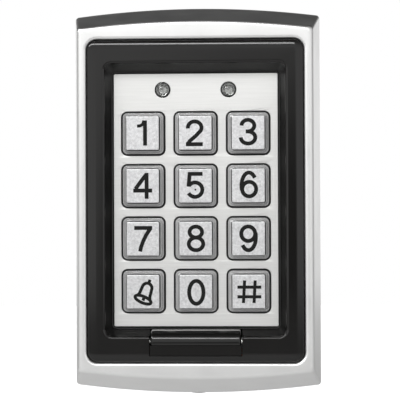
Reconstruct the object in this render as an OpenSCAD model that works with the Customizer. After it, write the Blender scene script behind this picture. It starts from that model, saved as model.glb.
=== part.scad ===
// Wall-mounted keypad access reader: a satin metal housing around a black bezel,
// with a recessed metal plate, twelve lit keys and two status lights.
// X points right, Z points up and the front faces -Y. The wall is the plane y = 0.
// Lengths are in millimetres.

/* [Housing] */
// Width of the housing at the wall
body_w = 76; // [66:0.5:100]
// Height of the housing at the wall, measured on its middle line
body_h = 120; // [102:0.5:160]
// Depth from the wall to the front face, gasket included
body_d = 27; // [26:0.5:36]
// Depth of the straight band nearest the wall
skirt_d = 7; // [7:0.5:9]
// Radius of the arched top and bottom ends
end_arc_r = 290; // [200:10:600]
// How far each end leans in from the band to the front face
end_lean = 7; // [3:0.5:9]
// How far each side leans in from the band to the front face
side_lean = 3; // [1.5:0.25:4]
// Thickness of the metal side and end walls
wall_t = 2; // [1.6:0.1:2.6]
// Thickness of the metal front
front_t = 2.2; // [1.6:0.1:3]
// Thickness of the rubber gasket that seals the rim to the wall
gasket_t = 1; // [0.6:0.1:1.6]

/* [Bezel] */
// Metal left showing on each side of the bezel
rim_side = 2.9; // [2.4:0.1:6]
// Metal left showing above the bezel, on the middle line
rim_top = 5.6; // [4.5:0.1:12]
// Metal left showing below the bezel, on the middle line
rim_bottom = 4.9; // [4.5:0.1:12]
// Corner radius of the bezel
bezel_corner_r = 3; // [1:0.1:5]
// How far the bezel stands proud of the metal front
bezel_proud = 0.2; // [0:0.05:0.6]
// Wall thickness of the bezel moulding
bezel_wall = 1.8; // [1.4:0.1:2.2]
// Black border at each side of the recess
border_side = 5.4; // [4.8:0.1:8]
// Black border above the recess
border_top = 7.1; // [6.6:0.1:10]
// Black border below the recess, which holds the hinge barrel
border_bottom = 7.7; // [7.2:0.1:10]
// Depth of the recess from the front face to the keypad plate
recess_d = 5.7; // [4.8:0.1:6.8]
// How far each side wall of the recess slopes in
recess_slope_side = 1.75; // [0.6:0.05:2.4]
// How far the top and bottom walls of the recess slope in
recess_slope_end = 2.1; // [0.6:0.05:2.6]
// Corner radius at the mouth of the recess
recess_corner_r = 2; // [1:0.1:4]

/* [Keypad plate] */
// Thickness of the keypad plate
plate_t = 1; // [0.8:0.1:1.2]
// Gap around the keypad plate
plate_gap = 0.3; // [0.2:0.05:0.6]
// Metal between neighbouring key holes
key_web = 2.46; // [2.1:0.02:4]
// Metal from the plate's side edge to the first key hole
key_margin_side = 2.24; // [1.8:0.02:5]
// Metal from the plate's top edge to the first row of key holes
key_margin_top = 11.38; // [9.5:0.02:16]
// Metal from the last row of key holes to the plate's bottom edge
key_margin_bottom = 3.94; // [2.6:0.02:8]
// Corner radius of the key holes
key_hole_r = 1.9; // [1:0.1:3]

/* [Keys] */
// Gap between a key's clear collar and its hole
collar_gap = 0.2; // [0.15:0.05:0.4]
// Width of the clear ring at each side of a key cap
ring_side = 1.7; // [1.3:0.05:3]
// Width of the clear ring above and below a key cap
ring_end = 1.55; // [1.3:0.05:3]
// Corner radius of the key caps
cap_corner_r = 0.5; // [0.2:0.1:1.5]
// How far the key caps stand out of the plate
cap_stand = 3; // [2.4:0.1:4]
// Thickness of the metal key caps
cap_t = 2.1; // [1.2:0.1:2.3]
// How far the outer step of the clear collar stands out of the plate
collar_step = 0.6; // [0.3:0.05:1]
// How far a key goes in when pressed
key_travel = 0.9; // [0.6:0.1:1.1]

/* [Status lights] */
// Distance between the two status lights
led_spacing = 19.8; // [12:0.2:24]
// Distance from the plate's top edge down to the status lights
led_drop = 4.9; // [4:0.1:6]
// Radius of the status lights' clear lens
led_r = 2.2; // [1.5:0.1:2.4]
// How far the lens stands out of the plate
led_stand = 1.7; // [0.8:0.1:2.2]
// Gap between the lens and its hole
led_gap = 0.15; // [0.1:0.05:0.4]

/* [Lid hinge] */
// Radius of the hinge barrel
barrel_r = 3.65; // [3.2:0.05:3.8]
// Distance from the plate's bottom edge down to the top of the hinge barrel
barrel_drop = 0.7; // [0.3:0.1:1]
// Length of the hinge barrel
barrel_l = 26.9; // [20:0.1:30]
// Gap around the hinge barrel
barrel_gap = 0.3; // [0.2:0.05:0.5]
// Radius of the steel hinge pin
pin_r = 1; // [0.75:0.05:1.25]
// Running clearance between the pin and the barrel
pin_clear = 0.05; // [0.02:0.01:0.1]
// Length of the hinge pin that sits in the bezel at each end
pin_grip = 3.5; // [2.5:0.1:4.5]

/* [Wall fixing] */
// Distance between the upper and lower wall screws, as on a switch box
gang_spacing = 83.3; // [70:0.1:90]
// Distance between the left and right wall screws, as on a round box
round_spacing = 60; // [52:0.1:61]
// Radius of the wall screw holes
wall_screw_r = 2.2; // [1.6:0.1:2.6]
// Thickness of the back cover
cover_t = 2; // [1.5:0.1:2.5]
// Gap between the back cover and the housing
cover_gap = 0.3; // [0.2:0.05:0.5]
// Radius of the cable hole through the grommet
cable_r = 3; // [2:0.1:4]
// Radius of the grommet's hole in the back cover
grommet_r = 5; // [4.5:0.1:6]
// How far the cable hole is below the middle of the back cover
cable_drop = 24; // [16:0.5:30]

/* [Screws] */
// Shank radius of the small assembly screws
screw_r = 1; // [0.8:0.05:1.2]
// Head radius of the small assembly screws
screw_head_r = 1.8; // [1.5:0.1:1.8]
// Head height of the small assembly screws
screw_head_t = 1.2; // [0.8:0.1:1.4]
// Shank radius of the security screw in the bottom edge
lock_screw_r = 1.5; // [1.2:0.1:1.6]

/* [Circuit board] */
// Thickness of the circuit board
pcb_t = 1.6; // [1:0.1:2]
// Thickness of the silicone key mat
mat_t = 1; // [0.8:0.1:1.4]
// Width of the winding of the antenna coil
coil_w = 1.4; // [1:0.1:1.8]
// Depth of the winding of the antenna coil
coil_t = 1.5; // [1:0.1:2]

/* [Hidden] */
$fn = 48;
SMOOTH = 256;
ROUNDING = 32;
OVER = 1;

KEY_NAMES = ["1", "2", "3", "4", "5", "6", "7", "8", "9", "bell", "0", "hash"];
COLS = 3;
ROWS = 4;

// Housing: front face, rear rim and slopes
face_y = -body_d;
slope_d = body_d - skirt_d;
end_angle = atan(end_lean / slope_d);
face_w = body_w - 2 * side_lean;
face_h = body_h - 2 * end_lean;
rim_y = -gasket_t;

// Bezel and the recess inside it
bezel_w = face_w - 2 * rim_side;
bezel_h = face_h - rim_top - rim_bottom;
bezel_z = (rim_bottom - rim_top) / 2;
bezel_top = bezel_z + bezel_h / 2;
bezel_bottom = bezel_z - bezel_h / 2;
bezel_y = face_y - bezel_proud;
recess_w = bezel_w - 2 * border_side;
recess_h = bezel_h - border_top - border_bottom;
recess_z = bezel_z + (border_bottom - border_top) / 2;
window_gap = 0.15;
flange_y = face_y + front_t;
flange_t = 1.2;
flange_w = 0.9;

// Keypad plate and the grid of keys
plate_y = face_y + recess_d;
plate_back = plate_y + plate_t;
floor_w = recess_w - 2 * recess_slope_side;
floor_h = recess_h - 2 * recess_slope_end;
plate_w = floor_w - 2 * plate_gap;
plate_h = floor_h - 2 * plate_gap;
plate_top = recess_z + plate_h / 2;
plate_bottom = recess_z - plate_h / 2;
plate_corner_r = 0.5;
pitch_x = (plate_w - 2 * key_margin_side + key_web) / COLS;
pitch_z = (plate_h - key_margin_top - key_margin_bottom + key_web) / ROWS;
hole_w = pitch_x - key_web;
hole_h = pitch_z - key_web;
grid_z = plate_bottom + key_margin_bottom + (ROWS * pitch_z - key_web) / 2;
grid_w = COLS * pitch_x - key_web;
grid_h = ROWS * pitch_z - key_web;
led_z = plate_top - led_drop;

// Keys, from the front to the back
cap_w = hole_w - 2 * ring_side;
cap_h = hole_h - 2 * ring_end;
cap_y = plate_y - cap_stand;
collar_w = hole_w - 2 * collar_gap;
collar_h = hole_h - 2 * collar_gap;
collar_seat = 0.7;
collar_top_y = cap_y + cap_t - collar_seat;
lip_w = 0.6;
lip_t = 1;
lip_gap = 0.3;
lip_y = plate_back + lip_gap;
foot_l = 1.6;
foot_r = 3;
foot_y = lip_y + lip_t + foot_l;

// Board stack behind the keys
dome_h = key_travel + 1.5;
mat_y = foot_y + dome_h;
board_y = mat_y + mat_t;
board_back = board_y + pcb_t;
mat_margin = 1.2;
carrier_t = 2;
carrier_edge = 2.5;
carrier_back = plate_back + carrier_t;
bezel_back = carrier_back + 2;

// Bezel screws: round bosses on the housing, ears on the bezel
boss_r = 1.7;
ear_r = 1.8;
ear_t = 1.6;
boss_gap = 0.2;
boss_inset = 0.5;
ear_x = 20;
ear_top_z = bezel_top + boss_gap + boss_r;
ear_bottom_z = bezel_bottom - boss_gap - boss_r;
ear_y = flange_y + 3.9;
pilot_l = 3;
screw_short = 0.3;
screw_play = 0.15;

// Carrier screws: bosses in the bezel's hollow border
coil_gap = 0.2;
carrier_boss_r = 1.9;
carrier_boss_x = 21;
inset = bezel_wall + coil_gap + coil_w + 0.3 + carrier_boss_r;
carrier_boss_top = bezel_top - inset;
carrier_boss_bottom = bezel_bottom + inset;
carrier_half_w = bezel_w / 2 - bezel_wall - coil_gap - coil_w - 0.3;

// Lid hinge
barrel_y = face_y + barrel_r;
barrel_z = plate_bottom - barrel_drop - barrel_r;
barrel_edge = 0.35;
trough_r = barrel_r + barrel_gap;
trough_wall = 1;
notch_w = barrel_l + 2 * barrel_gap;
hinge_ear_w = pin_grip + 1;

// Board outline and its posts
board_w = 2 * carrier_half_w;
board_top = plate_top + 4;
board_bottom = plate_bottom - 4;
post_r = 2.1;
post_x = carrier_half_w - post_r - 0.3;
post_top_z = plate_top - 1.5;
post_bottom_z = plate_bottom - 0.8;
board_corner_r = 2;

// Back cover, its hooks and the security screw
cover_y = -cover_t;
hook_z = body_h / 2 - wall_t - 3;
hook_x = 16;
hook_w = 8;
hook_reach = 8;
hook_t = 1.2;
hook_nib = 1.2;
hook_play = 0.4;
lock_y = -(gasket_t + skirt_d) / 2;
lock_head_r = lock_screw_r + 0.95;
lock_head_t = 1.1;
lock_sink = 0.15;
lock_play = 0.1;
lock_tab_w = 10;
lock_tab_h = 6.5;
sensor_x = 16;
sensor_z = 24;
sensor_r = 2.2;
cover_edge = wall_t + cover_gap;

// ---- outlines and shared shapes ----

// A flat rectangle with round corners, drawn on the front plane
module rounded_rect(w, h, r) {
    square([w - 2 * r, h], center = true);
    square([w, h - 2 * r], center = true);
    for (x = [-1, 1], z = [-1, 1]) {
        translate([x * (w / 2 - r), z * (h / 2 - r)]) circle(r = r);
    }
}

// A rounded slab that starts at depth y and is t deep, centred on height z
module slab(w, h, r, y, t, z = 0) {
    translate([0, y + t, z]) rotate([90, 0, 0]) linear_extrude(t) rounded_rect(w, h, r);
}

// A box given by its lowest and highest corners
module box(lo, hi) {
    translate(lo) cube(hi - lo);
}

// A round bar along Y from depth y, l long
module bar(r, y, l, x = 0, z = 0) {
    translate([x, y + l, z]) rotate([90, 0, 0]) cylinder(r = r, h = l);
}

// Puts its children at the centre of key number i, counted along the rows from the top left
module at_key(i) {
    x = (i % COLS - (COLS - 1) / 2) * pitch_x;
    z = grid_z + ((ROWS - 1) / 2 - floor(i / COLS)) * pitch_z;
    translate([x, 0, z]) children();
}

// Solid outline of the housing, drawn in by side and end from its outer skin
module housing_solid(side, end, y_front, y_back) {
    half = body_w / 2 - side;
    top = body_h / 2 - end;
    reach = body_h + 2 * OVER;
    intersection() {
        translate([0, 0, -reach / 2]) linear_extrude(reach) polygon([
            [-half, y_back], [-half, -skirt_d], [-half + side_lean, face_y],
            [-half + side_lean, y_front], [half - side_lean, y_front],
            [half - side_lean, face_y], [half, -skirt_d], [half, y_back]
        ]);
        for_both_ends(top) arch(0, end_arc_r);
        for_both_ends(top) arch(end_angle, end_arc_r / cos(end_angle));
    }
}

// Keeps what lies under an arch at the top and over its mirror image at the bottom
module for_both_ends(top) {
    intersection() {
        translate([0, -skirt_d, top]) children();
        mirror([0, 0, 1]) translate([0, -skirt_d, top]) children();
    }
}

// A wide round bar whose top line passes through the origin and leans down towards the front
module arch(angle, r) {
    rotate([angle, 0, 0]) translate([0, 0, -r]) rotate([90, 0, 0])
        cylinder(r = r, h = 8 * body_d, center = true, $fn = SMOOTH);
}

// The recess, grown by wall all round; its mouth is at the front and it narrows to the plate
module recess_funnel(grow, y_front, y_back) {
    r_mouth = recess_corner_r;
    r_floor = max(r_mouth - min(recess_slope_side, recess_slope_end) / 2, 0.4);
    skin = 0.01;
    hull() {
        for (x = [-1, 1], z = [-1, 1]) {
            translate([x * (recess_w / 2 - r_mouth), 0, recess_z + z * (recess_h / 2 - r_mouth)])
                bar(r_mouth + grow, y_front, skin, $fn = ROUNDING);
            translate([x * (floor_w / 2 - r_floor), 0, recess_z + z * (floor_h / 2 - r_floor)])
                bar(r_floor + grow, y_back - skin, skin, $fn = ROUNDING);
        }
    }
}

// A pan-head screw that enters along -Y, its head resting at depth y
module pan_screw(l, y) {
    bar(screw_r, y - l, l + 0.1);
    difference() {
        bar(screw_head_r, y, screw_head_t);
        bar(screw_head_r / 2, y + screw_head_t / 2, screw_head_t, $fn = 6);
    }
}

// Puts its children on the four screw places of the bezel's ears
module at_ears() {
    for (x = [-ear_x, ear_x], z = [ear_bottom_z, ear_top_z]) translate([x, 0, z]) children();
}

// Puts its children on the four screw places of the plate carrier
module at_carrier_bosses() {
    for (x = [-carrier_boss_x, carrier_boss_x], z = [carrier_boss_bottom, carrier_boss_top]) {
        translate([x, 0, z]) children();
    }
}

// Puts its children on the four posts that hold the circuit board
module at_posts() {
    for (x = [-post_x, post_x], z = [post_bottom_z, post_top_z]) translate([x, 0, z]) children();
}

// ---- metal housing ----

module front_housing() {
    color([0.88, 0.88, 0.87]) difference() {
        union() {
            difference() {
                housing_solid(0, 0, face_y, rim_y);
                housing_solid(wall_t, wall_t, face_y + front_t, OVER);
                slab(bezel_w + 2 * window_gap, bezel_h + 2 * window_gap, bezel_corner_r + window_gap,
                    face_y - OVER, front_t + 2 * OVER, bezel_z);
            }
            intersection() {
                housing_solid(boss_inset, boss_inset, face_y + boss_inset, rim_y);
                union() {
                    at_ears() bar(boss_r, face_y, ear_y - face_y);
                    hook_ribs();
                }
            }
        }
        at_ears() bar(screw_r, ear_y - pilot_l, pilot_l + OVER);
        slab(bezel_w + 2 * window_gap, bezel_h + 2 * window_gap, bezel_corner_r + window_gap,
            face_y - OVER, front_t + OVER, bezel_z);
        lock_screw_hole();
    }
}

// Ribs under the top wall that the back cover's hooks catch behind
module hook_ribs() {
    half = hook_w / 2 + hook_play;
    front = -hook_reach - hook_play;
    for (x = [-hook_x, hook_x]) {
        box([x - half, front, hook_z], [x + half, front + hook_t, body_h / 2]);
    }
}

// Countersunk hole in the bottom edge for the security screw
module lock_screw_hole() {
    translate([0, lock_y, -body_h / 2 - OVER]) {
        cylinder(r = lock_screw_r + 2 * lock_play, h = wall_t + 4 * OVER);
        cylinder(r = lock_head_r + lock_play, h = OVER + lock_sink);
        translate([0, 0, OVER + lock_sink])
            cylinder(r1 = lock_head_r + lock_play, r2 = lock_screw_r + lock_play, h = lock_head_t);
    }
}

// ---- black bezel ----

module bezel_frame() {
    sleeve_l = plate_t - 0.3;
    overlap = 0.5;
    color([0.15, 0.15, 0.15]) difference() {
        union() {
            difference() {
                slab(bezel_w, bezel_h, bezel_corner_r, bezel_y, bezel_back - bezel_y, bezel_z);
                slab(bezel_w - 2 * bezel_wall, bezel_h - 2 * bezel_wall, max(bezel_corner_r - bezel_wall, 0.5),
                    face_y + bezel_wall, body_d, bezel_z);
            }
            recess_funnel(bezel_wall, face_y + overlap, plate_y);
            slab(floor_w + 2 * bezel_wall, floor_h + 2 * bezel_wall, bezel_wall + 1,
                plate_y - overlap, sleeve_l + overlap, recess_z);
            difference() {
                slab(bezel_w + 2 * flange_w, bezel_h + 2 * flange_w, bezel_corner_r + flange_w,
                    flange_y, flange_t, bezel_z);
                slab(bezel_w - bezel_wall, bezel_h - bezel_wall, bezel_corner_r - bezel_wall / 2,
                    flange_y - OVER, flange_t + 2 * OVER, bezel_z);
                at_ears() bar(boss_r + boss_gap, flange_y - OVER, flange_t + 2 * OVER);
            }
            at_carrier_bosses() bar(carrier_boss_r, face_y + 1, plate_back - face_y - 1);
            bezel_ears();
            hinge_seat();
        }
        recess_funnel(0, bezel_y - 0.01, plate_y);
        slab(floor_w, floor_h, plate_corner_r + plate_gap, plate_y - 0.01, body_d, recess_z);
        at_carrier_bosses() bar(screw_r, plate_back - pilot_l, pilot_l + OVER);
        at_ears() bar(screw_r + screw_play, ear_y - OVER, ear_t + 2 * OVER);
        hinge_cavity();
    }
}

// Ears that stand off the bezel's ends and rest on the housing's bosses
module bezel_ears() {
    for (x = [-ear_x, ear_x]) {
        translate([x, 0, ear_top_z]) bar(ear_r, ear_y, ear_t);
        translate([x, 0, ear_bottom_z]) bar(ear_r, ear_y, ear_t);
        box([x - ear_r, ear_y, bezel_top - bezel_wall / 2], [x + ear_r, ear_y + ear_t, ear_top_z]);
        box([x - ear_r, ear_y, ear_bottom_z], [x + ear_r, ear_y + ear_t, bezel_bottom + bezel_wall / 2]);
    }
}

// Solid block across the bottom border that the barrel's trough and its pin holes are cut into
module hinge_seat() {
    block = notch_w / 2 + hinge_ear_w;
    box([-block, face_y + 1, bezel_bottom + bezel_wall / 2],
        [block, barrel_y + trough_r + trough_wall, plate_bottom - plate_gap]);
}

// Space for the barrel, open to the front, with the two blind holes for its pin
module hinge_cavity() {
    translate([0, barrel_y, barrel_z]) rotate([0, 90, 0]) {
        cylinder(r = trough_r, h = notch_w, center = true);
        cylinder(r = pin_r, h = barrel_l + 2 * pin_grip, center = true);
    }
    box([-notch_w / 2, bezel_y - OVER, barrel_z - trough_r], [notch_w / 2, barrel_y, barrel_z + trough_r]);
}

module hinge_barrel() {
    color([0.12, 0.12, 0.12]) translate([-barrel_l / 2, barrel_y, barrel_z]) rotate([0, 90, 0])
        rotate_extrude() polygon([
            [pin_r + pin_clear, 0],
            [barrel_r - barrel_edge, 0],
            [barrel_r, barrel_edge],
            [barrel_r, barrel_l - barrel_edge],
            [barrel_r - barrel_edge, barrel_l],
            [pin_r + pin_clear, barrel_l]
        ]);
}

module hinge_pin() {
    color([0.7, 0.7, 0.72]) translate([0, barrel_y, barrel_z]) rotate([0, 90, 0])
        cylinder(r = pin_r, h = barrel_l + 2 * pin_grip, center = true);
}

// ---- keypad plate and its carrier ----

module keypad_plate() {
    color([0.86, 0.86, 0.85]) difference() {
        slab(plate_w, plate_h, plate_corner_r, plate_y, plate_t, recess_z);
        for (i = [0 : COLS * ROWS - 1]) at_key(i)
            slab(hole_w, hole_h, key_hole_r, plate_y - OVER, plate_t + 2 * OVER);
        for (x = [-1, 1]) bar(led_r + led_gap, plate_y - OVER, plate_t + 2 * OVER, x * led_spacing / 2, led_z);
    }
}

module plate_carrier() {
    play = lip_w + 0.4;
    notch = notch_w / 2 + hinge_ear_w + 0.4;
    color([0.2, 0.2, 0.2]) difference() {
        union() {
            box([-carrier_half_w, plate_back, plate_bottom - carrier_edge],
                [carrier_half_w, carrier_back, plate_top + carrier_edge]);
            for (x = [-carrier_boss_x, carrier_boss_x]) {
                box([x - carrier_boss_r, plate_back, carrier_boss_bottom - carrier_boss_r],
                    [x + carrier_boss_r, carrier_back, carrier_boss_top + carrier_boss_r]);
            }
            at_posts() bar(post_r, plate_back, board_y - plate_back);
        }
        box([-grid_w / 2 - play, plate_back - OVER, grid_z - grid_h / 2 - play],
            [grid_w / 2 + play, carrier_back + OVER, grid_z + grid_h / 2 + play]);
        box([-notch, plate_back - OVER, carrier_boss_bottom - 2 * carrier_boss_r],
            [notch, carrier_back + OVER, plate_bottom + 0.8]);
        at_carrier_bosses() bar(screw_r + screw_play, plate_back - OVER, carrier_t + 2 * OVER);
        at_posts() bar(screw_r, board_y - pilot_l, pilot_l + OVER);
        for (x = [-1, 1]) bar(led_r + 0.6, plate_back - OVER, carrier_t + 2 * OVER, x * led_spacing / 2, led_z);
    }
}

// ---- keys ----

module key_cap(i) {
    color([0.84, 0.84, 0.83]) at_key(i) slab(cap_w, cap_h, cap_corner_r, cap_y, cap_t);
}

// Clear collar: a stepped ring around the cap, a lip behind the plate and a foot on the dome
module key_collar(i) {
    step_w = (collar_w + cap_w) / 2;
    step_h = (collar_h + cap_h) / 2;
    step_y = plate_y - collar_step;
    color([0.75, 0.76, 0.77, 0.6]) at_key(i) difference() {
        union() {
            slab(collar_w, collar_h, key_hole_r - collar_gap, step_y, lip_y + lip_t - step_y);
            slab(step_w, step_h, key_hole_r - collar_gap, collar_top_y, plate_y - collar_top_y);
            slab(hole_w + 2 * lip_w, hole_h + 2 * lip_w, key_hole_r, lip_y, lip_t);
            bar(foot_r, lip_y, foot_y - lip_y);
        }
        slab(cap_w, cap_h, cap_corner_r, collar_top_y - OVER, collar_seat + OVER);
    }
}

// Silicone sheet with a hollow dome under each key
module key_mat() {
    window = 3;
    skin = 0.9;
    foot = 1.6;
    tip = -0.4;
    thin = 0.7;
    color([0.55, 0.56, 0.58]) difference() {
        union() {
            slab(grid_w + 2 * mat_margin, grid_h + 2 * mat_margin, key_hole_r, mat_y, mat_t, grid_z);
            for (i = [0 : COLS * ROWS - 1]) at_key(i) translate([0, mat_y, 0]) rotate([90, 0, 0]) {
                cylinder(r1 = foot_r + foot, r2 = foot_r + tip, h = dome_h);
            }
        }
        for (i = [0 : COLS * ROWS - 1]) at_key(i) translate([0, board_y, 0]) rotate([90, 0, 0]) {
            cylinder(r1 = foot_r + foot - thin, r2 = foot_r + tip - thin, h = mat_t + dome_h - skin);
        }
        at_lamps() box([-window / 2, mat_y - OVER, -window / 2], [window / 2, board_y + OVER, window / 2]);
    }
}

// Puts its children on the crossings between the keys
module at_lamps() {
    for (x = [-0.5, 0.5], row = [-1, 0, 1]) translate([x * pitch_x, 0, grid_z + row * pitch_z]) children();
}

module backlight_lamps() {
    lamp = [2, 0.8, 1.2];
    color([0.95, 0.95, 0.8]) at_lamps() translate([-lamp.x / 2, board_y - lamp.y, -lamp.z / 2]) cube(lamp);
}

// Split gold pads on the board, one under each dome
module key_contacts() {
    pad_r = 2.2;
    pad_t = 0.08;
    split = 0.4;
    color([0.85, 0.7, 0.3]) for (i = [0 : COLS * ROWS - 1]) at_key(i) difference() {
        bar(pad_r, board_y - pad_t, pad_t);
        box([-split / 2, board_y - 2 * pad_t, -pad_r - OVER], [split / 2, board_y + pad_t, pad_r + OVER]);
    }
}

// ---- status lights ----

module status_light(side) {
    leg = 0.5;
    leg_l = 2.6;
    leg_x = 1.27;
    rim = 0.35;
    dome_y = plate_y - led_stand;
    straight_y = dome_y + led_r;
    color([0.85, 0.86, 0.88, 0.7]) translate([side * led_spacing / 2, 0, led_z]) {
        intersection() {
            translate([0, straight_y, 0]) sphere(r = led_r);
            bar(led_r, dome_y - OVER, straight_y - dome_y + OVER);
        }
        bar(led_r, straight_y, board_y - leg_l - straight_y);
        bar(led_r + rim, plate_back, 1);
        for (x = [-leg_x, leg_x]) {
            box([x - leg / 2, board_y - leg_l - 0.1, -leg / 2], [x + leg / 2, board_y, leg / 2]);
        }
    }
}

// ---- circuit board and its parts ----

module main_board() {
    middle = (board_top + board_bottom) / 2;
    color([0.1, 0.35, 0.2]) difference() {
        slab(board_w, board_top - board_bottom, board_corner_r, board_y, pcb_t, middle);
        at_posts() bar(screw_r + screw_play, board_y - OVER, pcb_t + 2 * OVER);
    }
}

// Flat winding glued inside the bezel's outer wall
module antenna_coil() {
    bend_r = 2.4;
    y = carrier_back + 0.1;
    w = bezel_w - 2 * bezel_wall - 2 * coil_gap;
    h = bezel_h - 2 * bezel_wall - 2 * coil_gap;
    color([0.72, 0.38, 0.18]) difference() {
        slab(w, h, bend_r, y, coil_t, bezel_z);
        slab(w - 2 * coil_w, h - 2 * coil_w, bend_r - coil_w, y - OVER, coil_t + 2 * OVER, bezel_z);
    }
}

// Puts its children on the back of the board
module on_board(x, z) {
    translate([x, board_back, z]) children();
}

// A block on the board, given by its width, depth and height
module block(size) {
    translate([-size.x / 2, 0, -size.z / 2]) cube(size);
}

// A chip with n gull-wing legs along each of two sides
module chip(size, n) {
    leg = [1.2, 0.35, 0.4 * size.z / n];
    lift = 0.1;
    translate([0, lift, 0]) block(size - [0, lift, 0]);
    for (side = [-1, 1], k = [0 : n - 1]) {
        translate([side * (size.x / 2 + leg.x / 3), 0, (k - (n - 1) / 2) * size.z / n]) block(leg);
    }
}

module controller_chip() {
    color([0.1, 0.1, 0.1]) on_board(-15, 4) chip([7.5, 2.3, 17.9], 14);
}

module reader_chip() {
    color([0.1, 0.1, 0.1]) on_board(3, 18) chip([4, 1.6, 9.9], 8);
}

// Oval metal can
module crystal() {
    can_r = 2.3;
    can_t = 3.5;
    straight = 6.4;
    color([0.8, 0.8, 0.8]) on_board(-3, 4) {
        block([2 * can_r, can_t, straight]);
        for (z = [-1, 1]) bar(can_r, 0, can_t, 0, z * straight / 2);
    }
}

module lock_relay() {
    color([0.1, 0.25, 0.6]) on_board(13.7, -6) block([15.4, 7.4, 12]);
}

// Round buzzer with a sound hole in its top
module sounder() {
    height = 5.5;
    hole_r = 1;
    hole_l = 2;
    color([0.08, 0.08, 0.08]) on_board(-15, 26) difference() {
        bar(6, 0, height);
        bar(hole_r, height - hole_l, hole_l + OVER);
    }
}

// Metal can on a square plastic base
module filter_capacitor() {
    base = [6.6, 0.6, 6.6];
    color([0.75, 0.75, 0.78]) on_board(-17, -14) {
        block(base);
        bar(3.15, base.y - 0.1, 6.2);
    }
}

// Power chip with its cooling tab above and two legs below
module voltage_regulator() {
    body = [6.6, 2.3, 6];
    tab = [5.2, 0.5, 1.2];
    leg = [0.8, 0.5, 2.6];
    color([0.12, 0.12, 0.12]) on_board(16, -24) {
        block(body);
        translate([0, 0, (body.z + tab.z) / 2]) block(tab);
        for (side = [-1, 1]) translate([side * (body.x / 2 - 1), 0, -(body.z + leg.z) / 2]) block(leg);
    }
}

// Open-topped pin header that the cable plugs onto
module cable_header() {
    outer = [22.5, 5.8, 5.8];
    wall = 0.8;
    floor_t = 1.2;
    pins = 8;
    pin_pitch = 2.5;
    pin = [0.64, 4, 0.64];
    color([0.9, 0.9, 0.86]) on_board(0, -34) {
        difference() {
            block(outer);
            translate([0, floor_t, 0]) block([outer.x - 2 * wall, outer.y, outer.z - 2 * wall]);
        }
        for (k = [0 : pins - 1]) translate([(k - (pins - 1) / 2) * pin_pitch, floor_t - 0.2, 0]) block(pin);
    }
}

// Light sensor that sees daylight when the housing comes off its back cover
module tamper_sensor() {
    lift = 2;
    can_t = 2;
    leg_r = 0.3;
    leg_x = 1.2;
    color([0.8, 0.35, 0.2]) on_board(sensor_x, sensor_z) {
        bar(sensor_r, lift, can_t);
        for (x = [-leg_x, leg_x]) bar(leg_r, 0, lift + 0.2, x, 0);
    }
}

// ---- back cover, gasket and grommet ----

module back_cover() {
    color([0.6, 0.61, 0.62]) difference() {
        union() {
            intersection() {
                housing_solid(cover_edge, cover_edge, face_y, OVER);
                box([-body_w, cover_y, -body_h], [body_w, 0, body_h]);
            }
            cover_hooks();
            lock_tab();
        }
        for (z = [-1, 1]) bar(wall_screw_r, cover_y - OVER, cover_t + 2 * OVER, 0, z * gang_spacing / 2);
        for (x = [-1, 1]) bar(wall_screw_r, cover_y - OVER, cover_t + 2 * OVER, x * round_spacing / 2, 0);
        bar(grommet_r, cover_y - OVER, cover_t + 2 * OVER, 0, -cable_drop);
        bar(sensor_r + 0.6, cover_y - OVER, cover_t + 2 * OVER, sensor_x, sensor_z);
        translate([0, lock_y, -body_h / 2]) cylinder(r = lock_screw_r, h = wall_t + lock_tab_h - 0.5);
    }
}

// Two hooks on the top edge that catch the housing's ribs
module cover_hooks() {
    nib_y = -hook_reach - hook_play - hook_t - hook_play;
    top = hook_z - hook_play - 0.2;
    for (x = [-hook_x, hook_x]) {
        box([x - hook_w / 2, nib_y, top - hook_t], [x + hook_w / 2, cover_y / 2, top]);
        box([x - hook_w / 2, nib_y, top - hook_t], [x + hook_w / 2, nib_y + hook_t, top + hook_nib]);
    }
}

// Block behind the bottom edge that the security screw threads into
module lock_tab() {
    bottom = -body_h / 2 + cover_edge + 0.4;
    half_d = 3;
    box([-lock_tab_w / 2, lock_y - half_d, bottom], [lock_tab_w / 2, cover_y / 2, bottom + lock_tab_h]);
}

module wall_gasket() {
    outer_inset = 0.3;
    inner_inset = wall_t - 0.2;
    color([0.12, 0.12, 0.12]) difference() {
        intersection() {
            housing_solid(outer_inset, outer_inset, face_y, OVER);
            box([-body_w, rim_y, -body_h], [body_w, 0, body_h]);
        }
        housing_solid(inner_inset, inner_inset, face_y, 2 * OVER);
    }
}

module cable_grommet() {
    lip = 1.5;
    color([0.1, 0.1, 0.1]) difference() {
        union() {
            bar(grommet_r, cover_y, cover_t, 0, -cable_drop);
            bar(grommet_r + lip, cover_y - lip, lip, 0, -cable_drop);
        }
        bar(cable_r, cover_y - lip - OVER, cover_t + lip + 2 * OVER, 0, -cable_drop);
    }
}

// ---- screws ----

// Countersunk screw with a six-pointed star socket
module security_screw() {
    l = wall_t + lock_tab_h - 1;
    socket_r = 1.1;
    socket_l = 0.7;
    color([0.75, 0.75, 0.77]) translate([0, lock_y, -body_h / 2 + lock_sink]) difference() {
        union() {
            cylinder(r1 = lock_head_r, r2 = lock_screw_r, h = lock_head_t);
            cylinder(r = lock_screw_r, h = l - lock_sink);
        }
        for (turn = [0, 30]) translate([0, 0, -OVER]) rotate([0, 0, turn])
            cylinder(r = socket_r, h = OVER + socket_l, $fn = 6);
    }
}

module bezel_screws() {
    color([0.7, 0.7, 0.72]) at_ears() pan_screw(ear_t + pilot_l - screw_short, ear_y + ear_t);
}

module carrier_screws() {
    color([0.7, 0.7, 0.72]) at_carrier_bosses() pan_screw(carrier_t + pilot_l - screw_short, carrier_back);
}

module board_screws() {
    color([0.7, 0.7, 0.72]) at_posts() pan_screw(pcb_t + pilot_l - screw_short, board_back);
}

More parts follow.
